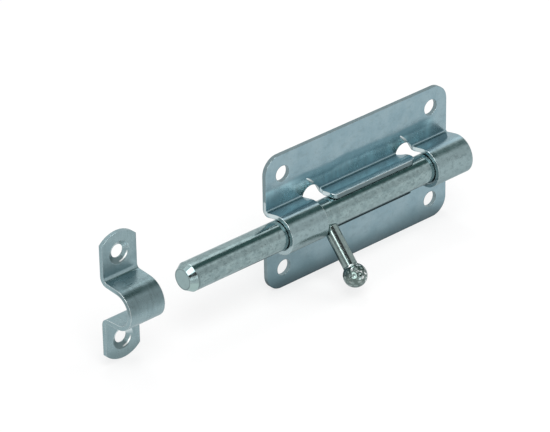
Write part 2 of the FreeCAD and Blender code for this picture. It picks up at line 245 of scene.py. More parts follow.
@dataclass(frozen=True)
class Pattern:
    """Soft noise on the object, also used as a mask.

    Attributes:
        periods: Periods for each metre along X, Y and Z.
        none: Value of the noise at which the mask is 0.
        full: Value at which it is 1, which may be the smaller one.
        detail: Number of finer layers.
        rough: Weight of the finer layers.
        shift: Moves the pattern, so that two uses differ.
    """

    periods: Point
    none: float = 0.0
    full: float = 1.0
    detail: float = 3.0
    rough: float = 0.5
    shift: float = 0.0

    def sized(self, size: float) -> "Pattern":
        """The pattern with its periods given for each size instead of each metre."""
        return replace(self, periods=tuple(part / size for part in self.periods))

    def noise(self, web: Web) -> Wire:
        """Noise about 0.5, mostly between 0.3 and 0.7, made once for each tree.

        Args:
            web: Builder of the material's tree.

        Returns:
            The noise.
        """
        if self not in web.noises:
            place = web.node("ShaderNodeTexCoord", output="Object")
            scaled = web.node("ShaderNodeVectorMath", {"operation": "MULTIPLY"},
                              {0: place, 1: self.periods})
            shift = tuple(self.shift * share for share in SHIFT_SHARES)
            moved = web.node("ShaderNodeVectorMath", {"operation": "ADD"}, {0: scaled, 1: shift})
            web.noises[self] = web.node(
                "ShaderNodeTexNoise", {"noise_dimensions": "3D"},
                {"Vector": moved, "Scale": 1.0, "Detail": self.detail, "Roughness": self.rough})
        return web.noises[self]

    def on(self, web: Web) -> Wire:
        """The mask."""
        return self.noise(web).rise(self.none, self.full)


@dataclass(frozen=True)
class Step:
    """Mask that goes smoothly from 0 to 1 along one reading.

    Attributes:
        along: What it goes by.
        none: Reading at which the mask is 0.
        full: Reading at which it is 1, which may be the smaller one.
        both: Whether it goes by the reading's size without its sign.
        rest: What the mask keeps where the step is 0.
        wander: Distance by which slow noise moves the step.
    """

    along: Along
    none: float
    full: float
    both: bool = False
    rest: float = 0.0
    wander: float = 0.0

    def on(self, web: Web) -> Wire:
        """The mask.

        Args:
            web: Builder of the material's tree.

        Returns:
            The mask, between rest and 1.
        """
        reading = web.reading(self.along, self.wander)
        mask = (abs(reading) if self.both else reading).rise(self.none, self.full)
        return mask.lifted(self.rest) if self.rest else mask


@dataclass(frozen=True)
class Band:
    """Mask that is 1 between two readings.

    Attributes:
        along: What it goes by.
        low: Reading at which it begins to be 1.
        high: Reading at which it ends to be 1.
        soft: Distance over which it falls to 0 outside them.
        wander: Distance by which slow noise moves the band.
    """

    along: Along
    low: float
    high: float
    soft: float
    wander: float = 0.0

    def on(self, web: Web) -> Wire:
        """The mask."""
        return web.reading(self.along, self.wander).band(self.low, self.high, self.soft)


Mask = Step | Band | Pattern


def overlap(web: Web, *masks: Mask) -> Wire:
    """Product of masks, which is 1 where all of them are."""
    wires = [mask.on(web) for mask in masks]
    return math.prod(wires[1:], start=wires[0])


@dataclass(frozen=True)
class Tone:
    """Colour laid over a finish.

    Attributes:
        colour: The colour.
        share: How strongly it shows at most.
        where: Masks, all of which are 1 where it shows.
    """

    colour: Colour
    share: float
    where: tuple[Mask, ...]

    def over(self, web: Web, under: Wire) -> Wire:
        """The colour below it with this one laid over."""
        return web.blend(overlap(web, *self.where) * self.share, under, self.colour)


# How far a pattern's shift moves it along X, Y and Z.
SHIFT_SHARES = (1.0, 0.7, 1.3)

# Patterns. The first three have a period for each size that the finish gives, not for each metre.
CLOUDS = Pattern((1.0, 1.0, 1.0), 0.36, 0.66, detail=5.0, rough=0.62)
RIPPLES = Pattern((1.0, 1.0, 1.0), rough=0.55, shift=11.9)
MARKS = Pattern((0.7, 1.0, 1.0), 0.47, 0.68, detail=5.0, rough=0.68, shift=9.4)
GRAIN = Pattern((2600, 2600, 2600), 0.4, 0.7, rough=0.6, shift=7.1)
SKIN = Pattern((1700, 1900, 1900), 0.58, 0.36, detail=2.0, rough=0.6, shift=17.3)
PINS = Pattern((1500, 1500, 1500), 0.66, 0.76, detail=2.0, shift=3.3)
# Patches along which the painted edge highlight, partly wear, is stronger.
WORN_AND_HIGHLIT_PATCHES = Pattern((450, 450, 450), 0.3, 0.62, rough=0.6, shift=23.7)
WORN_NOSE = Pattern((600, 900, 900), 0.46, 0.7, detail=5.0, rough=0.68, shift=4.1)
BEND_LINES = Pattern((1100, 120, 120), 0.45, 0.66, rough=0.6, shift=14.2)
STREAKS = Pattern((330, 330, 80), 0.36, 0.68, detail=4.0, rough=0.62, shift=5.2)
GLINTS = Pattern((1000, 1000, 1000), 0.53, 0.61, detail=2.0, shift=31.0)
SLOW = Pattern((90, 90, 90), detail=2.0, shift=2.2)
CLOTH = Pattern((60, 60, 60))

# Faces that look one way.
FLAT = Step(Along.OUTWARDS, -0.7, -0.95)
FRONT = Step(Along.OUTWARDS, -0.8, -0.97)
UNDERSIDE = Step(Along.UPWARDS, -0.05, -0.4)
CUT_ENDS = Step(Along.SIDEWAYS, 0.8, 0.95, both=True)

# Sizes that several masks of the plate share.
WINDOW_FOOT = -11.5 * MM
LEDGE_REACH = 21 * MM
UNEVEN = 6 * MM


@dataclass(frozen=True)
class ZincFinish:
    """Bright zinc plating: a soft cool grey metal with clouds, fine grain and a painted edge
    highlight.

    Attributes:
        name: Name of the material.
        colour: Reflected colour of clean plating.
        cloud_colour: Colour of the darker, bluer clouds.
        cloud_size: Size of a cloud.
        cloud_share: How strongly the clouds show.
        gloss: Roughness of the smoothest and of the dullest places.
        least_gloss: Roughness under which no place goes.
        grain_gloss: Roughness that the fine grain adds or takes.
        grain_colour: Colour of the grain's pale side.
        grain_share: How strongly it shows.
        grain_height: Height of the grain, as a share of the ripple's.
        ripple: Height of the gentle unevenness under the plating.
        ripple_size: Width of one ripple.
        speckle: Strength of the dark pin marks.
        pin_colour: Their colour.
        skin_share: How strongly the hollows of the skin are tinted, for each speckle.
        peel: Height of the fine uneven skin that breaks up sharp reflections.
        mark_size: Size of the small darker marks from handling.
        mark_share: How strongly they show.
        mark_colour: Their colour.
        grazing: Tint of the reflection at a grazing angle.
        edge: Radius to which sharp edges are softened.
        edge_samples: Number of directions in which an edge is looked for.
        edge_turn: Likeness of own and softened normal where the edge highlight begins and is whole.
        edge_highlight_colour: Colour of the edges' painted highlight, which is partly wear.
        edge_highlight_share: How strongly it shows.
        edge_highlight_rest: What is left of it between the patches.
    """

    name: str
    colour: Colour = (0.272, 0.368, 0.385)
    cloud_colour: Colour = (0.205, 0.315, 0.345)
    cloud_size: float = 5 * MM
    cloud_share: float = 0.45
    gloss: Span = (0.2, 0.34)
    least_gloss: float = 0.08
    grain_gloss: float = 0.12
    grain_colour: Colour = (0.42, 0.5, 0.5)
    grain_share: float = 0.2
    grain_height: float = 0.15
    ripple: float = 0.006 * MM
    ripple_size: float = 1.1 * MM
    speckle: float = 0.25
    pin_colour: Colour = (0.06, 0.085, 0.085)
    skin_share: float = 0.35
    peel: float = 0.01 * MM
    mark_size: float = 1.1 * MM
    mark_share: float = 0.3
    mark_colour: Colour = (0.11, 0.155, 0.16)
    grazing: Colour = (0.78, 0.82, 0.83)
    edge: float = 0.28 * MM
    edge_samples: int = 6
    edge_turn: Span = (0.993, 0.92)
    edge_highlight_colour: Colour = (0.9, 0.95, 0.95)
    edge_highlight_share: float = 0.95
    edge_highlight_rest: float = 0.5

    def dress(self, obj: bpy.types.Object) -> bpy.types.Material:
        """Make the material and put it into every slot of the object.

        Args:
            obj: The node's object.

        Returns:
            The material.
        """
        material = bpy.data.materials.new(self.name)
        material.use_nodes = True
        web = Web(material.node_tree)
        colour, gloss, height = self.surface(web)
        soft = web.node("ShaderNodeBevel", {"samples": self.edge_samples}, {"Radius": self.edge})
        # Painted highlight on sharp edges, partly wear, stronger in patches.
        patches = WORN_AND_HIGHLIT_PATCHES.on(web).lifted(self.edge_highlight_rest)
        worn_and_highlit_edge = self.worn_and_highlit_edge(web, soft) * self.edge_highlight_reach(web) * self.edge_highlight_share * patches
        colour = web.blend(worn_and_highlit_edge, colour, self.edge_highlight_colour)
        bump = web.node("ShaderNodeBump", {}, {"Strength": 1.0, "Distance": 1.0,
                                               "Height": height, "Normal": soft})
        metal = web.node("ShaderNodeBsdfPrincipled", {}, {
            "Base Color": colour, "Metallic": 1.0, "Roughness": gloss, "Normal": bump,
            "Specular Tint": self.grazing})
        web.node("ShaderNodeOutputMaterial", {}, {"Surface": metal})
        obj.data.materials.clear()
        obj.data.materials.append(material)
        for polygon in obj.data.polygons:
            polygon.material_index = 0
        return material

    def worn_and_highlit_edge(self, web: Web, soft: Wire) -> Wire:
        """Share of an edge for the painted highlight: where the softened normal leaves the
        surface's own.

        Args:
            web: Builder of the material's tree.
            soft: Softened normal.

        Returns:
            1 on a sharp edge, 0 on a flat or gently curved face.
        """
        own = web.node("ShaderNodeNewGeometry", output="Normal")
        likeness = web.node("ShaderNodeVectorMath", {"operation": "DOT_PRODUCT"},
                            {0: soft, 1: own}, output="Value")
        return likeness.rise(*self.edge_turn)

    def edge_highlight_reach(self, web: Web) -> Wire | float:
        """Share of the edges that get the painted highlight: all of them."""
        return 1.0

    def surface(self, web: Web) -> tuple[Wire, Wire, Wire]:
        """Colour, roughness and height of the plating.

        Args:
            web: Builder of the material's tree.

        Returns:
            Colour, roughness, and height in metres.
        """
        clouds = CLOUDS.sized(self.cloud_size).on(web)
        ripples = RIPPLES.sized(self.ripple_size).noise(web)
        grain, skin = GRAIN.noise(web), SKIN.noise(web)
        colour = web.blend(clouds * self.cloud_share, self.colour, self.cloud_colour)
        for tone in (Tone(self.grain_colour, self.grain_share, (GRAIN,)),
                     Tone(self.cloud_colour, self.skin_share * self.speckle, (SKIN,)),
                     Tone(self.pin_colour, self.speckle, (PINS,)),
                     Tone(self.mark_colour, self.mark_share, (MARKS.sized(self.mark_size),))):
            colour = tone.over(web, colour)
        low, high = self.gloss
        gloss = low + (high - low) * clouds + (grain - 0.5) * self.grain_gloss
        height = ripples * self.ripple + grain * (self.ripple * self.grain_height)
        return colour, gloss.most(self.least_gloss), height + skin * self.peel


@dataclass(frozen=True)
class PressedFinish(ZincFinish):
    """Plating on bent sheet: drawn streaks and painted light by the bends, painted shade on the
    hump.

    Attributes:
        streak_zone: Distances from the rod's middle plane between which the streaks show.
        streak_soft: Distance over which they fade there.
        streak_end: Where along the rod they begin to fade on the right.
        streak_fade: Distance over which they fade there.
        streak_share: How strongly they show.
        streak_rest: What the zone keeps of them between two streaks.
        streak_height: Height of the streaks, as a share of the ripple's.
        streak_and_light_colour: Their colour, which also lifts the zone as painted light.
        matt_end: Distance from the middle plane at which the matt zone around them ends.
        matt_soft: Distance over which it fades.
        matt: Roughness that the zone adds.
        hump_depth: Depth at which the hump's painted shade begins, in front of the sheet's back.
        hump_heights: Heights between which the hump has its painted shade.
        hump_soft: Distance over which that shade begins.
        hump_top: Distance over which it ends at the upper height.
        hump_shade_colour: Painted shade on the hump's nose.
        hump_shade_share: How strongly it shows.
        worn_share: How strongly the worn patches in it show.
        lines_share: How strongly the fine lines show that run round the bends.
        lines_rest: What is left of them off the hump.
        standing: Edges that stand out, which get the painted edge highlight, and what is left of it
            elsewhere.
        under_gloss: Roughness that the hump's underside has more than the rest.
    """

    streak_zone: Span = (7.5 * MM, 12.2 * MM)
    streak_soft: float = 1.5 * MM
    streak_end: float = 31 * MM
    streak_fade: float = 5 * MM
    streak_share: float = 0.85
    streak_rest: float = 0.5
    streak_height: float = 0.5
    streak_and_light_colour: Colour = (0.5, 0.78, 0.86)
    matt_end: float = 13.5 * MM
    matt_soft: float = 3 * MM
    matt: float = 0.11
    hump_depth: float = 7 * MM
    hump_heights: Span = (-12 * MM, 6.3 * MM)
    hump_soft: float = 3 * MM
    hump_top: float = 0.3 * MM
    hump_shade_colour: Colour = (0.29, 0.385, 0.395)
    hump_shade_share: float = 0.85
    worn_share: float = 0.5
    lines_share: float = 0.1
    lines_rest: float = 0.35
    standing: Step = Step(Along.Y, -1.6 * MM, -2.6 * MM, rest=0.25)
    under_gloss: float = 0.18

    def edge_highlight_reach(self, web: Web) -> Wire | float:
        """Painted edge highlight mostly on the edges of the hump, which stands out."""
        return self.standing.on(web)

    def surface(self, web: Web) -> tuple[Wire, Wire, Wire]:
        """Plating with the marks that pressing leaves, and painted shade on the hump's nose.

        Args:
            web: Builder of the material's tree.

        Returns:
            Colour, roughness, and height in metres.
        """
        colour, gloss, height = super().surface(web)
        low, high = self.hump_heights
        hump = overlap(web, Step(Along.Y, -self.hump_depth, -self.hump_depth - self.hump_soft),
                       Step(Along.Z, low - self.hump_soft, low),
                       Step(Along.Z, high + self.hump_top, high))
        # Painted shade on the hump's nose, with worn patches in it.
        worn = WORN_NOSE.on(web) * self.worn_share
        nose = web.blend(worn, self.hump_shade_colour, self.mark_colour)
        colour = web.blend(hump * self.hump_shade_share, colour, nose)
        lines = BEND_LINES.on(web) * hump.lifted(self.lines_rest)
        colour = web.blend(lines * self.lines_share, colour, self.mark_colour)
        begin, end = self.streak_zone
        zone = overlap(web, Band(Along.Z, begin, end, self.streak_soft), FLAT)
        length = Step(Along.X, self.streak_end + self.streak_fade, self.streak_end).on(web)
        streak = STREAKS.on(web)
        # Drawn streaks, and painted light that lifts the zone between them.
        share = zone * streak.lifted(self.streak_rest) * self.streak_share * length
        colour = web.blend(share, colour, self.streak_and_light_colour)
        height = height + streak * zone * (self.ripple * self.streak_height)
        matt = overlap(web, Band(Along.Z, begin, self.matt_end, self.matt_soft), FLAT) * self.matt
        under = hump * UNDERSIDE.on(web) * self.under_gloss
        return colour, gloss + matt + under, height


@dataclass(frozen=True)
class FlangeFinish(PressedFinish):
    """Plating on the plate: painted shade at its lower edge and on the window's lower cut face.

    Attributes:
        rim: The cut faces round the flange and in its holes.
        low: Where the flange has painted shade along its lower edge.
        left: Where it has painted shade at its lower left.
        low_shade_share: How dark the painted shade along the lower edge is.
        left_shade_share: How dark the painted shade at the lower left is.
        low_shade_most: The most that both together come to.
        low_shade_colour: Colour of the painted shade.
        shade: The flange above the ledge, darker between its reliefs.
        ledge: Painted light on the ledge's upward faces towards its front.
        mouth: Painted light on the cut ends of the tunnels.
        bend: Painted highlight on the cut ends of the bends above the tunnels.
        lip: The ledge's cut front.
        cut: Painted shadow on the window's lower cut face.
        worn: The right tunnel, which is duller.
        worn_gloss: Roughness that it has more than the rest.
        unhighlit_cut_edge: The window's lower cut edge, which gets no painted edge highlight.
        upper: Faces that look up, whose edges get the painted highlight, and what the others have
            of it.
        ledge_length: Where the ledge's own edges get the painted highlight, whichever way they
            look.
    """

    rim: Tone = Tone((0.13, 0.165, 0.165), 0.6, (
        Step(Along.OUTWARDS, 0.5, 0.2, both=True), Step(Along.Y, -1.9 * MM, -1.6 * MM)))
    low: tuple[Mask, ...] = (
        Step(Along.Z, -12 * MM, -20 * MM, wander=UNEVEN), Step(Along.Z, -25.5 * MM, -20 * MM),
        Step(Along.X, 39 * MM, 32 * MM, rest=0.3))
    left: tuple[Mask, ...] = (
        Step(Along.X, 10 * MM, -36 * MM, wander=UNEVEN), Step(Along.Z, -7 * MM, -12 * MM))
    low_shade_share: float = 0.7
    left_shade_share: float = 0.45
    low_shade_most: float = 0.85
    low_shade_colour: Colour = (0.12, 0.195, 0.22)
    shade: Tone = Tone((0.13, 0.25, 0.3), 0.8, (
        Band(Along.Z, 12.7 * MM, 14.4 * MM, 1.4 * MM, wander=0.4 * UNEVEN),
        Step(Along.X, -29 * MM, -21 * MM, wander=UNEVEN),
        Step(Along.X, 38 * MM, 31 * MM, wander=UNEVEN), FRONT))
    # Painted light on the ledge's upward faces towards its front.
    ledge: Tone = Tone((0.48, 0.63, 0.68), 0.8, (
        Step(Along.UPWARDS, 0.93, 0.98), Step(Along.Y, -5 * MM, -9 * MM),
        Step(Along.X, LEDGE_REACH, LEDGE_REACH - 1 * MM, both=True)))
    # Painted light on the tunnels' cut ends.
    mouth: Tone = Tone((0.36, 0.46, 0.48), 1.0, (
        CUT_ENDS, Step(Along.Y, -2.5 * MM, -3.5 * MM)))
    # Painted highlight on the cut ends of the bends.
    bend: Tone = Tone((0.85, 0.95, 0.96), 0.42, (
        CUT_ENDS, Band(Along.Z, 5.2 * MM, 8.8 * MM, 0.8 * MM),
        Band(Along.Y, -7 * MM, -0.9 * MM, 1 * MM)))
    lip: Tone = Tone((0.14, 0.19, 0.2), 1.0, (
        Step(Along.OUTWARDS, -0.9, -0.97), Step(Along.Z, 4.9 * MM, 5.1 * MM),
        Step(Along.Y, -9.2 * MM, -9.35 * MM), Step(Along.Y, -9.6 * MM, -9.45 * MM)))
    # Painted shadow: the window's lower cut face, nearly black.
    cut: Tone = Tone((0.003, 0.012, 0.014), 1.0, (
        Band(Along.Z, WINDOW_FOOT - 0.1 * MM, WINDOW_FOOT + 0.1 * MM, 0.1 * MM),
        Step(Along.UPWARDS, 0.4, 0.6)))
    worn: tuple[Mask, ...] = (
        Step(Along.X, 22 * MM, 28 * MM), Step(Along.Y, -6 * MM, -9 * MM))
    worn_gloss: float = 0.12
    unhighlit_cut_edge: Band = Band(Along.Z, WINDOW_FOOT - 0.4 * MM, WINDOW_FOOT + 0.4 * MM, 0.1 * MM)
    upper: Step = Step(Along.UPWARDS, 0.35, 0.85, rest=0.25)
    ledge_length: Step = Step(Along.X, LEDGE_REACH + 1 * MM, LEDGE_REACH, both=True)

    def edge_highlight_reach(self, web: Web) -> Wire | float:
        """Painted edge highlight mostly on the upper edges of the hump and all of the ledge's, none
        on the cut face.

        Args:
            web: Builder of the material's tree.

        Returns:
            Share of the edges that gets the painted highlight.
        """
        upper = self.upper.on(web).most(self.ledge_length.on(web))
        return super().edge_highlight_reach(web) * (1 - self.unhighlit_cut_edge.on(web)) * upper

    def surface(self, web: Web) -> tuple[Wire, Wire, Wire]:
        """Plating of a pressed sheet with the plate's own shades.

        Args:
            web: Builder of the material's tree.

        Returns:
            Colour, roughness, and height in metres.
        """
        colour, gloss, height = super().surface(web)
        colour = self.rim.over(web, colour)
        # Painted shade along the flange's lower edge and at its lower left.
        low_shade = overlap(web, *self.low) * self.low_shade_share + overlap(web, *self.left) * self.left_shade_share
        low_shade = low_shade.least(self.low_shade_most) * FRONT.on(web)
        colour = web.blend(low_shade, colour, self.low_shade_colour)
        for tone in (self.shade, self.ledge, self.mouth, self.bend, self.lip, self.cut):
            colour = tone.over(web, colour)
        return colour, gloss + overlap(web, *self.worn) * self.worn_gloss, height


@dataclass(frozen=True)
class TurnedFinish(ZincFinish):
    """Plating on drawn and turned steel, with dimples where the ball was formed.

    Attributes:
        ball: Middle of the ball.
        ball_radius: Radius of the ball.
        reach: Distances from its middle, in radii, at which the dimples end and are whole.
        dimple: Depth of the dimples.
        dimples: Dimples for each metre.
        dimple_soft: How smoothly two dimples meet.
        pit: Depths at which a dimple's painted shade begins and is whole.
        pit_shade_share: How strongly the painted shade shows.
        pit_shade_colour: Colour of the painted shade in the dimples.
        glint_colour: Colour of the painted glints between the dimples.
        glint_tilt: How much the spots follow the height, against the place along the rod.
        glint_side: Distances along that line at which the spots are weak and strong.
        glint_shares: How strongly they show on the weak side, and how much more on the other.
    """

    ball: Point = (0.0, 0.0, 0.0)
    ball_radius: float = 4 * MM
    reach: Span = (1.12, 1.02)
    dimple: float = 0.32 * MM
    dimples: Point = (700, 700, 700)
    dimple_soft: float = 0.15
    pit: Span = (0.25, 0.5)
    pit_shade_share: float = 0.75
    pit_shade_colour: Colour = (0.085, 0.12, 0.11)
    glint_colour: Colour = (0.95, 0.98, 0.98)
    glint_tilt: float = 0.6
    glint_side: Span = (-1.5 * MM, 1.8 * MM)
    glint_shares: Span = (0.15, 0.75)

    def surface(self, web: Web) -> tuple[Wire, Wire, Wire]:
        """Plating with a hammered ball, painted shade in its dimples and painted glints on it.

        Args:
            web: Builder of the material's tree.

        Returns:
            Colour, roughness, and height in metres.
        """
        colour, gloss, height = super().surface(web)
        place = web.node("ShaderNodeTexCoord", output="Object")
        away = web.node("ShaderNodeVectorMath", {"operation": "DISTANCE"},
                        {0: place, 1: self.ball}, output="Value")
        on_ball = away.rise(*(self.ball_radius * part for part in self.reach))
        spread = web.node("ShaderNodeVectorMath", {"operation": "MULTIPLY"},
                          {0: place, 1: self.dimples})
        cells = web.node("ShaderNodeTexVoronoi", {"feature": "SMOOTH_F1"},
                         {"Vector": spread, "Scale": 1.0, "Smoothness": self.dimple_soft})
        # Painted shade in the dimples.
        pit_shade = on_ball * cells.rise(*self.pit) * self.pit_shade_share
        colour = web.blend(pit_shade, colour, self.pit_shade_colour)
        # Painted glints, stronger on one side of the ball.
        beside, over = web.along[Along.X] - self.ball[0], web.along[Along.Z] - self.ball[2]
        lit = (beside + over * self.glint_tilt).rise(*self.glint_side)
        weak, more = self.glint_shares
        glints = on_ball * GLINTS.on(web) * (lit * more + weak)
        colour = web.blend(glints, colour, self.glint_colour)
        return colour, gloss, height + cells * on_ball * self.dimple


@dataclass(frozen=True)
class BarFinish(ZincFinish):
    """Plating on the rod, with a turned tip.

    Attributes:
        depth: How far the rod's middle line lies in front of the plate's back.
        face: The tip's face.
        face_share: How smooth it shows.
        face_colour: Its colour.
        rim: Radii between which its darker rim begins.
        ring_colour: Colour of the two edges of the taper.
        ring_share: How strongly they show.
        ring: The edge at the taper's wide end.
        taper: The taper's length.
        below: The taper's lower side.
        lit_colour: Painted highlight on that side.
        lit_share: How strongly it shows.
    """

    depth: float = 7.4 * MM
    face: tuple[Mask, ...] = (
        Step(Along.SIDEWAYS, -0.8, -0.95), Step(Along.X, -79.3 * MM, -80 * MM))
    face_share: float = 0.85
    face_colour: Colour = (0.285, 0.385, 0.39)
    rim: Span = (3.05 * MM, 3.35 * MM)
    ring_colour: Colour = (0.17, 0.235, 0.24)
    ring_share: float = 0.8
    ring: tuple[Mask, ...] = (
        Band(Along.X, -77.8 * MM, -77.3 * MM, 0.2 * MM), Step(Along.UPWARDS, 0.7, 0.5))
    taper: Step = Step(Along.X, -77.7 * MM, -78.1 * MM)
    below: Step = Step(Along.UPWARDS, 0.1, -0.15)
    lit_colour: Colour = (0.36, 0.49, 0.475)
    lit_share: float = 0.85

    def surface(self, web: Web) -> tuple[Wire, Wire, Wire]:
        """Plating with a smooth end face, and a taper with darker edges and a painted highlight
        below.

        Args:
            web: Builder of the material's tree.

        Returns:
            Colour, roughness, and height in metres.
        """
        colour, gloss, height = super().surface(web)
        radius = ((web.along[Along.Y] + self.depth) ** 2 + web.along[Along.Z] ** 2) ** 0.5
        face = overlap(web, *self.face)
        colour = web.blend(face * self.face_share, colour, self.face_colour)
        rim = face * radius.rise(*self.rim) * self.ring_share
        colour = web.blend(rim, colour, self.ring_colour)
        # Painted highlight on the taper's lower side.
        lit = overlap(web, self.taper, self.below) * (1 - face) * self.lit_share
        colour = web.blend(lit, colour, self.lit_colour)
        colour = Tone(self.ring_colour, self.ring_share, self.ring).over(web, colour)
        return colour, gloss, height


@dataclass(frozen=True)
class StrapFinish(PressedFinish):
    """Plating on the strike, with sunk screw holes whose rings have painted light and shade.

    Attributes:
        middle: Where the strike stands along the rod.
        hole_height: Height of the upper hole over the rod's line, and of the lower one below it.
        sink: Distances from a hole's middle at which its sunk ring ends and is whole.
        sunk: Faces that belong to the ring.
        sink_gloss: Roughness that the rings have more than the rest.
        side_share: How strongly the painted light and shade on the rings' two sides show.
        upper: The rings' upper side.
        upper_light_colour: Painted light on it.
        lower: Their lower side.
        lower_shade_colour: Painted shade on it, also laid on the strap's lower end.
        lip: Distances from the middle between which a painted highlight runs in the countersink.
        lip_soft: Distance over which that line fades.
        lip_side: Faces on which it shows.
        lip_right: Distances to the right of the middle at which it begins and is whole.
        lip_share: How strongly it shows.
        lip_highlight_colour: Colour of that painted highlight.
        foot: The strap's lower end, which is painted in shade.
        foot_share: How dark that painted shade is.
    """

    middle: float = -100.3 * MM
    hole_height: float = 15.3 * MM
    sink: Span = (4.1 * MM, 4.0 * MM)
    sunk: Step = Step(Along.OUTWARDS, -0.97, -0.9)
    sink_gloss: float = 0.12
    side_share: float = 0.9
    upper: Step = Step(Along.UPWARDS, 0.1, -0.35)
    upper_light_colour: Colour = (0.8, 0.9, 0.92)
    lower: Step = Step(Along.UPWARDS, 0.0, 0.4)
    lower_shade_colour: Colour = (0.15, 0.21, 0.22)
    lip: Span = (3.35 * MM, 3.58 * MM)
    lip_soft: float = 0.14 * MM
    lip_side: Step = Step(Along.UPWARDS, 0.05, 0.3)
    lip_right: Span = (-0.3 * MM, 1 * MM)
    lip_share: float = 0.85
    lip_highlight_colour: Colour = (0.95, 0.98, 0.97)
    foot: tuple[Mask, ...] = (Step(Along.Z, -16.5 * MM, -21.5 * MM), FRONT)
    foot_share: float = 0.6

    def surface(self, web: Web) -> tuple[Wire, Wire, Wire]:
        """Plating of a pressed strap with its sunk rings, in painted light, shade and highlight.

        Args:
            web: Builder of the material's tree.

        Returns:
            Colour, roughness, and height in metres.
        """
        colour, gloss, height = super().surface(web)
        beside = web.along[Along.X] - self.middle
        away = (beside ** 2 + (abs(web.along[Along.Z]) - self.hole_height) ** 2) ** 0.5
        ring = away.rise(*self.sink) * self.sunk.on(web)
        # Painted light on the rings' upper side and painted shade on their lower side.
        for side, tint in ((self.upper, self.upper_light_colour), (self.lower, self.lower_shade_colour)):
            colour = web.blend(ring * side.on(web) * self.side_share, colour, tint)
        # Painted highlight along the countersink's lower right.
        lip = away.band(*self.lip, self.lip_soft) * self.lip_side.on(web)
        lip = ring * lip * beside.rise(*self.lip_right) * self.lip_share
        colour = web.blend(lip, colour, self.lip_highlight_colour)
        # Painted shade towards the strap's lower end.
        colour = Tone(self.lower_shade_colour, self.foot_share, self.foot).over(web, colour)
        return colour, gloss + ring * self.sink_gloss, height


@dataclass
class Crease:
    """Low ridge that the press leaves beside a relief, a lens that sits in the flange's face.

    Attributes:
        name: Name of the piece.
        start: Lower end, on the flange's face.
        end: Upper end, on the flange's face.
        width: Greatest width.
        height: Greatest height over the sheet.
        rows: Points along the ridge, its two ends among them.
        turns: Points round its section.
    """

    name: str
    start: Point
    end: Point
    width: float = 1.0 * MM
    height: float = 0.3 * MM
    rows: int = 25
    turns: int = 20

    def build(self, body: str, slot: str, finish: ZincFinish) -> bpy.types.Object:
        """Make the ridge's closed mesh.

        Along the ridge runs u from 0 to 1 and round its section runs v from 0 to a full turn. The
        half width and the height both follow the square root of sin(pi u), so the ends are round,
        and the section is an ellipse of those two half sizes about the flange's face.

        Args:
            body: Body that the ridge rides on.
            slot: Not used.
            finish: Finish of the ridge.

        Returns:
            The ridge's object.
        """
        u = np.linspace(0, 1, self.rows)[1:-1]
        v = np.linspace(0, 2 * np.pi, self.turns, endpoint=False)
        start, end = np.array(self.start), np.array(self.end)
        along = (end - start) / np.linalg.norm(end - start)
        out = np.array((0.0, -1.0, 0.0))
        side = np.cross(along, out)
        swell = np.sqrt(np.sin(np.pi * u))[:, None, None]
        ring = (np.cos(v)[None, :, None] * side * self.width / 2
                + np.sin(v)[None, :, None] * out * self.height)
        line = start + u[:, None, None] * (end - start)
        points = np.vstack([(line + swell * ring).reshape(-1, 3), start, end])
        index = np.arange(len(u) * self.turns).reshape(len(u), self.turns)
        after = np.roll(index, -1, axis=1)
        quads = np.stack([index[:-1], after[:-1], after[1:], index[1:]], -1).reshape(-1, 4)
        first, last = len(points) - 2, len(points) - 1
        caps = [(first, int(b), int(a)) for a, b in zip(index[0], after[0])]
        caps += [(last, int(a), int(b)) for a, b in zip(index[-1], after[-1])]
        mesh = bpy.data.meshes.new(self.name)
        mesh.from_pydata(points.tolist(), [], quads.tolist() + caps)
        mesh.validate()
        mesh.shade_smooth()
        obj = bpy.data.objects.new(self.name, mesh)
        bpy.context.scene.collection.objects.link(obj)
        finish.dress(obj)
        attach(obj, body)
        return obj


@dataclass
class DressedSolid:
    """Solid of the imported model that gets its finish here.

    Attributes:
        node: Name of the solid.
        finish: Its finish.
    """

    node: str
    finish: ZincFinish

    def build(self) -> None:
        """Dress the solid."""
        self.finish.dress(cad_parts[self.node])
        log.info("%s dressed in %s", self.node, self.finish.name)


@dataclass
class PressedPlate(DressedSolid):
    """Plate with its two tunnels, window and ledge.

    Attributes:
        crease_highlight: Finish of the creases, painted near white as a highlight.
        creases: Ridges beside its reliefs.
    """

    node: str = "plate"
    finish: FlangeFinish = FlangeFinish(
        "zinc_on_plate", colour=(0.29, 0.405, 0.45), cloud_colour=(0.22, 0.345, 0.4),
        cloud_size=7 * MM, cloud_share=0.6, gloss=(0.14, 0.22),
        mark_size=2.2 * MM, mark_share=0.16, edge=0.38 * MM, edge_highlight_share=0.75)
    # Painted highlight: the creases are painted near white.
    crease_highlight: ZincFinish = ZincFinish(
        "painted_crease_highlight", colour=(0.86, 0.92, 0.92), cloud_colour=(0.5, 0.58, 0.6),
        gloss=(0.3, 0.4), speckle=0.0, mark_share=0.0, edge_highlight_share=0.0)
    creases: tuple[Crease, ...] = field(default_factory=lambda: (
        Crease("crease_left", (-19.2 * MM, -1.5 * MM, 8.6 * MM),
               (-22.6 * MM, -1.5 * MM, 11.7 * MM)),
        Crease("crease_right", (22.4 * MM, -1.5 * MM, 8.0 * MM),
               (18.9 * MM, -1.5 * MM, 11.7 * MM))))

    def build(self) -> None:
        """Dress the plate and add the creases beside its reliefs."""
        super().build()
        for crease in self.creases:
            made = crease.build("base", "zinc_plate", self.crease_highlight)
            log.info("%s: %d faces on the flange", made.name, len(made.data.polygons))


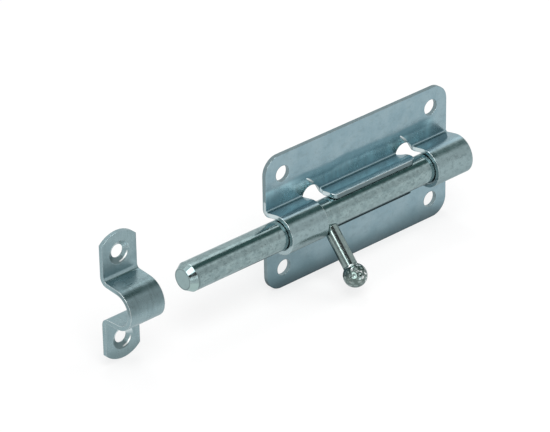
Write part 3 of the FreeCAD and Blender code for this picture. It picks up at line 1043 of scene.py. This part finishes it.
@dataclass
class SlidingRod(DressedSolid):
    """Drawn round rod."""

    node: str = "rod"
    finish: BarFinish = BarFinish(
        "zinc_on_rod", colour=(0.3, 0.4, 0.405), cloud_colour=(0.2, 0.285, 0.295),
        cloud_size=2.2 * MM, cloud_share=0.7, gloss=(0.09, 0.18), ripple=0.016 * MM,
        speckle=0.7, peel=0.016 * MM, mark_share=0.5, edge_highlight_share=0.22)


@dataclass
class BallKnob(DressedSolid):
    """Turned stem with its ball, whose place is read from the solid."""

    node: str = "knob"
    finish: TurnedFinish = TurnedFinish(
        "zinc_on_knob", colour=(0.25, 0.32, 0.305), cloud_colour=(0.17, 0.23, 0.22),
        cloud_size=2 * MM, gloss=(0.09, 0.17), mark_share=0.4, edge_highlight_share=0.5)

    def build(self) -> None:
        """Dress the knob, with the ball found at the lowest, foremost end of its box."""
        low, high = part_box(self.node)
        reach = self.finish.ball_radius
        ball = ((low.x + high.x) / 2, low.y + reach, low.z + reach)
        self.finish = replace(self.finish, ball=ball)
        super().build()
        log.info("%s: ball at %.4f %.4f %.4f", self.node, *ball)


@dataclass
class ArchedStrike(DressedSolid):
    """Strap with an arch that takes the rod's tip."""

    node: str = "strike"
    finish: StrapFinish = StrapFinish(
        "zinc_on_strike", colour=(0.275, 0.38, 0.405), cloud_colour=(0.205, 0.31, 0.345),
        gloss=(0.24, 0.34), peel=0.014 * MM, mark_size=0.6 * MM, mark_share=0.16,
        edge_highlight_share=0.75, streak_zone=(7.5 * MM, 10 * MM), streak_share=0.1, lines_share=0.35,
        matt_end=11 * MM, matt=0.1, hump_depth=6.5 * MM, hump_heights=(2 * MM, 12 * MM),
        hump_shade_colour=(0.165, 0.235, 0.25))


@dataclass
class PhotoCamera:
    """Camera at the photograph's viewing angle.

    Attributes:
        azimuth: Turn about Z from straight in front, in degrees.
        elevation: Height above the horizon, in degrees.
        roll: Turn about the line of sight, in degrees.
        distance: From the camera to the plate's middle.
        aim_right: Place of the view's middle from the plate's, along the picture's width.
        aim_up: The same along its height.
        lens: Focal length in millimetres.
        sensor: Width of the sensor in millimetres.
        clip: Nearest and farthest distance that the camera sees.
    """

    azimuth: float = -42.951
    elevation: float = 29.0
    roll: float = -0.293
    distance: float = 1.172918
    aim_right: float = -25.96 * MM
    aim_up: float = -10.1 * MM
    lens: float = 235.64
    sensor: float = 36.0
    clip: Span = (0.05, 20.0)

    def build(self) -> bpy.types.Object:
        """Make the camera and give it to the scene.

        Returns:
            The camera.
        """
        a, e, r = (math.radians(v) for v in (self.azimuth, self.elevation, self.roll))
        back = Vector((math.sin(a) * math.cos(e), -math.cos(a) * math.cos(e), math.sin(e)))
        level = Vector((math.cos(a), math.sin(a), 0))
        rise = back.cross(level)
        right = math.cos(r) * level + math.sin(r) * rise
        up = math.cos(r) * rise - math.sin(r) * level
        eye = back * self.distance
        back = (eye - right * self.aim_right - up * self.aim_up).normalized()
        right = up.cross(back).normalized()
        up = back.cross(right)
        data = bpy.data.cameras.new("photo_camera")
        data.lens = self.lens
        data.sensor_width = self.sensor
        data.clip_start, data.clip_end = self.clip
        camera = bpy.data.objects.new("photo_camera", data)
        turn = Matrix((right, up, back)).transposed().to_4x4()
        camera.matrix_world = Matrix.Translation(eye) @ turn
        bpy.context.scene.collection.objects.link(camera)
        bpy.context.scene.camera = camera
        return camera


@dataclass(frozen=True)
class Lamp:
    """Square soft lamp that looks at the plate.

    Attributes:
        name: Name of the lamp.
        place: Where it stands.
        size: Side of its square.
        power: Power in watts.
        mirrored: Whether the metal shows the lamp itself.
    """

    name: str
    place: Point
    size: float
    power: float
    mirrored: bool = False

    def build(self) -> None:
        """Add the lamp to the scene."""
        data = bpy.data.lights.new(self.name, "AREA")
        data.size = self.size
        data.energy = self.power
        lamp = bpy.data.objects.new(self.name, data)
        lamp.location = self.place
        lamp.rotation_mode = "QUATERNION"
        lamp.rotation_quaternion = (-Vector(self.place)).to_track_quat("-Z", "Y")
        lamp.visible_glossy = self.mirrored
        bpy.context.scene.collection.objects.link(lamp)


@dataclass(frozen=True)
class Panel:
    """Part of the tent with its own light in the metal's reflections.

    Attributes:
        ends: Where it begins and ends along X, in directions from -1 to 1.
        angles: The same about X, in degrees from straight up towards the viewer.
        light: Its light.
    """

    ends: Span
    angles: Span
    light: float


@dataclass
class Floor:
    """Flat sheet under the plate that looks white and keeps a soft shadow.

    Attributes:
        drop: Gap between the plate's lowest edge and the floor.
        reach: Half the floor's side.
        colours: Two tones of its cloth.
        rough: Roughness of the cloth.
        glow: Share of plain white in what the camera sees of the floor, the rest being lit.
        foot: Where the plate stands, laid with a painted shade that only reflections see.
        foot_share: How much darker.
        foot_shade_colour: Colour of that painted shade.
    """

    drop: float = 0.05 * MM
    reach: float = 3.0
    colours: tuple[Colour, Colour] = ((0.8, 0.8, 0.8), (0.84, 0.84, 0.84))
    rough: float = 0.6
    glow: float = 0.7
    foot: tuple[Mask, ...] = (
        Step(Along.Y, -8 * MM, -1 * MM), Step(Along.Y, 7 * MM, 1 * MM),
        Step(Along.X, 55 * MM, 38 * MM, both=True))
    foot_share: float = 0.65
    foot_shade_colour: Colour = (0.03, 0.04, 0.042)

    def build(self) -> None:
        """Make the floor and its material."""
        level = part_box("plate")[0].z - self.drop
        side = np.array([(-1, -1), (1, -1), (1, 1), (-1, 1)], float) * self.reach
        points = np.c_[side, np.full(len(side), level)]
        mesh = bpy.data.meshes.new("floor")
        mesh.from_pydata(points.tolist(), [], [tuple(range(len(side)))])
        floor = bpy.data.objects.new("floor", mesh)
        bpy.context.scene.collection.objects.link(floor)
        material = bpy.data.materials.new("pale_floor")
        material.use_nodes = True
        self.weave(Web(material.node_tree))
        mesh.materials.append(material)

    def weave(self, web: Web) -> None:
        """Fill the floor's material.

        Args:
            web: Builder of the material's tree.
        """
        pale = web.blend(CLOTH.noise(web), *self.colours)
        lit = web.node("ShaderNodeBsdfDiffuse", {}, {"Color": pale, "Roughness": self.rough})
        white = web.node("ShaderNodeEmission", {}, {"Color": (1, 1, 1), "Strength": 1.0})
        mirrored = web.ray("Is Glossy Ray")
        seen = web.ray("Is Camera Ray").most(mirrored).most(web.ray("Is Transmission Ray"))
        both = web.node("ShaderNodeMixShader", {}, {0: seen * self.glow, 1: lit, 2: white})
        # Painted shade at the plate's foot, which only glossy rays see.
        dark = web.node("ShaderNodeBsdfDiffuse", {}, {"Color": self.foot_shade_colour})
        share = overlap(web, *self.foot) * mirrored * self.foot_share
        both = web.node("ShaderNodeMixShader", {}, {0: share, 1: both, 2: dark})
        web.node("ShaderNodeOutputMaterial", {}, {"Surface": both})


@dataclass
class LightTent:
    """Soft white tent, whose roof has a narrow dark seam along the rod in the reflections.

    Angles are about X, from straight up towards the viewer, in degrees.

    Attributes:
        seam: Angles at which the dark seam begins, starts to fade and has faded.
        seam_soft: Angle over which it begins.
        seam_left: Directions along X at which it begins and is whole.
        seam_tint: Light that the seam gives, by colour.
        strip: Angles of the brighter strip behind the seam.
        strip_soft: Angle over which it fades.
        strip_light: Light of that strip.
        front: Angles of the tent's front wall.
        front_soft: Angle over which it fades.
        front_light: Light of the front wall.
        panels: Small panels in the tent's left half.
        panel_soft: Direction and angle over which a panel fades.
        plain: Light that the tent gives to matt surfaces, of the white that the camera sees.
    """

    seam: tuple[float, float, float] = (-7.0, 17.0, 37.5)
    seam_soft: float = 3.5
    seam_left: Span = (0.2, 0.35)
    seam_tint: Colour = (0.1, 0.175, 0.165)
    strip: Span = (-30.0, -16.0)
    strip_soft: float = 7.0
    strip_light: float = 1.5
    front: Span = (48.0, 78.0)
    front_soft: float = 10.0
    front_light: float = 0.8
    panels: tuple[Panel, ...] = (
        Panel((-0.79, -0.71), (10.0, 56.0), 5.5),
        Panel((-0.5, -0.3), (0.0, 38.0), 5.0),
        Panel((-0.52, 0.18), (43.0, 62.0), 0.08),
        Panel((-0.4, 0.0), (72.0, 92.0), 3.0),
        Panel((-1.2, -0.93), (-20.0, 200.0), 0.5))
    panel_soft: Span = (0.03, 4.0)
    plain: float = 0.75

    def build(self) -> None:
        """Make the world, which is white for the camera and the tent for the metal."""
        world = bpy.data.worlds.new("light_tent")
        bpy.context.scene.world = world
        world.use_nodes = True
        web = Web(world.node_tree)
        x, y, z = web.axes(web.node("ShaderNodeTexCoord", output="Generated"))
        angle = (-y).angle_with(z) * math.degrees(1)
        strip = angle.band(*self.strip, self.strip_soft)
        begin, fade, end = self.seam
        seam = angle.rise(begin - self.seam_soft, begin) * angle.rise(end, fade)
        seam = seam * x.rise(*self.seam_left)
        front = angle.band(*self.front, self.front_soft)
        light = 1 + strip * (self.strip_light - 1) - front * (1 - self.front_light)
        aside, about = self.panel_soft
        for panel in self.panels:
            share = x.band(*panel.ends, aside) * angle.band(*panel.angles, about)
            light = light * (1 - share) + share * panel.light
        glossy = web.ray("Is Glossy Ray")
        plain = web.ray("Is Camera Ray").lifted(self.plain)
        tint = web.blend(seam * glossy, (1.0, 1.0, 1.0), self.seam_tint)
        glow = web.node("ShaderNodeBackground", {},
                        {"Color": tint, "Strength": glossy * light + (1 - glossy) * plain})
        web.node("ShaderNodeOutputWorld", {}, {"Surface": glow})


@dataclass
class Studio:
    """Pale floor in a soft light tent with three lamps.

    Attributes:
        floor: The floor.
        tent: The tent.
        lamps: The lamps.
    """

    floor: Floor = field(default_factory=Floor)
    tent: LightTent = field(default_factory=LightTent)
    lamps: tuple[Lamp, ...] = (
        Lamp("key_lamp", (-0.35, -0.5, 0.9), 0.6, 5.0),
        Lamp("fill_lamp", (0.6, -0.4, 0.7), 0.6, 3.0),
        Lamp("spark_lamp", (0.15, 0.3, 0.94), 0.25, 1.5, mirrored=True))

    def build(self) -> None:
        """Make the floor, the tent's light and the lamps."""
        for part in (self.floor, self.tent, *self.lamps):
            part.build()
        bpy.context.scene.view_settings.view_transform = "Standard"


def main() -> None:
    """Build every sub-assembly and the stage in order."""
    logging.basicConfig(level=logging.INFO, format="%(name)s: %(message)s")
    for part in (PressedPlate(), SlidingRod(), BallKnob(), ArchedStrike()):
        part.build()
    Studio().build()
    PhotoCamera().build()


if __name__ == "__main__":
    main()
